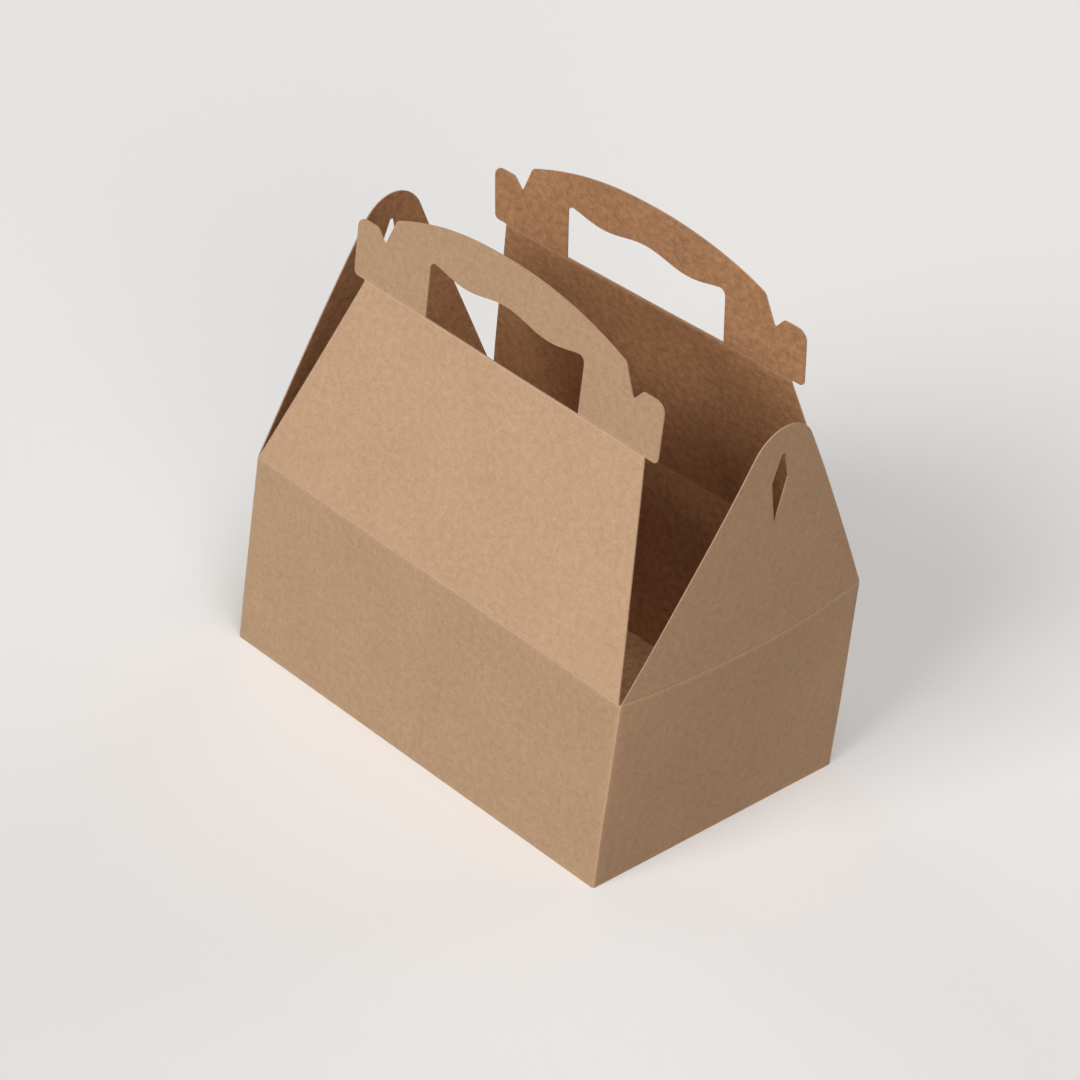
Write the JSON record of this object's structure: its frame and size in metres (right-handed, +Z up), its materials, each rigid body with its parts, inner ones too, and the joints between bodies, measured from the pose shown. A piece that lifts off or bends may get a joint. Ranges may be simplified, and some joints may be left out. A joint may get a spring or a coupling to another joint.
{
  "type": "gable top bakery box",
  "caption": "Folded kraft board carry box, shown open: a tray with roof panels hinged on its long walls, a handle on each roof panel, and an end flap with a locking slit on each end wall.",
  "frame": {"origin": "centre of the underside, on the surface that the box stands on", "axes": "+X along the long walls to the right, +Y from the front wall to the back wall, +Z up"},
  "size_m": [0.2408, 0.148, 0.2357],
  "materials": {
    "kraft_board": "uncoated brown kraft board, smooth and matt, with fine fibre specks"
  },
  "bodies": {
    "tray": {"tray": "kraft_board"},
    "front_roof_panel": {"front_roof_panel": "kraft_board"},
    "back_roof_panel": {"back_roof_panel": "kraft_board"},
    "front_handle": {"front_handle": "kraft_board"},
    "back_handle": {"back_handle": "kraft_board"},
    "left_end_flap": {"left_end_flap": "kraft_board"},
    "right_end_flap": {"right_end_flap": "kraft_board"}
  },
  "joints": [
    {"name": "front_roof_fold", "type": "hinge", "parent": "tray", "child": "front_roof_panel", "pos_m": [0, -0.0737, 0.094], "axis": [-1, 0, 0], "range_deg": [-107.3, 31.73]},
    {"name": "back_roof_fold", "type": "hinge", "parent": "tray", "child": "back_roof_panel", "pos_m": [0, 0.0737, 0.094], "axis": [1, 0, 0], "range_deg": [-107.3, 31.73]},
    {"name": "front_handle_fold", "type": "hinge", "parent": "front_roof_panel", "child": "front_handle", "pos_m": [0, -0.04485, 0.18662], "axis": [1, 0, 0], "range_deg": [-17.3, 31.73]},
    {"name": "back_handle_fold", "type": "hinge", "parent": "back_roof_panel", "child": "back_handle", "pos_m": [0, 0.04485, 0.18662], "axis": [-1, 0, 0], "range_deg": [-9.3, 39.73]},
    {"name": "left_flap_fold", "type": "hinge", "parent": "tray", "child": "left_end_flap", "pos_m": [-0.1137, 0, 0.094], "axis": [0, 1, 0], "range_deg": [-87.4, 26.88]},
    {"name": "right_flap_fold", "type": "hinge", "parent": "tray", "child": "right_end_flap", "pos_m": [0.1137, 0, 0.094], "axis": [0, -1, 0], "range_deg": [-85.8, 28.48]}
  ]
}
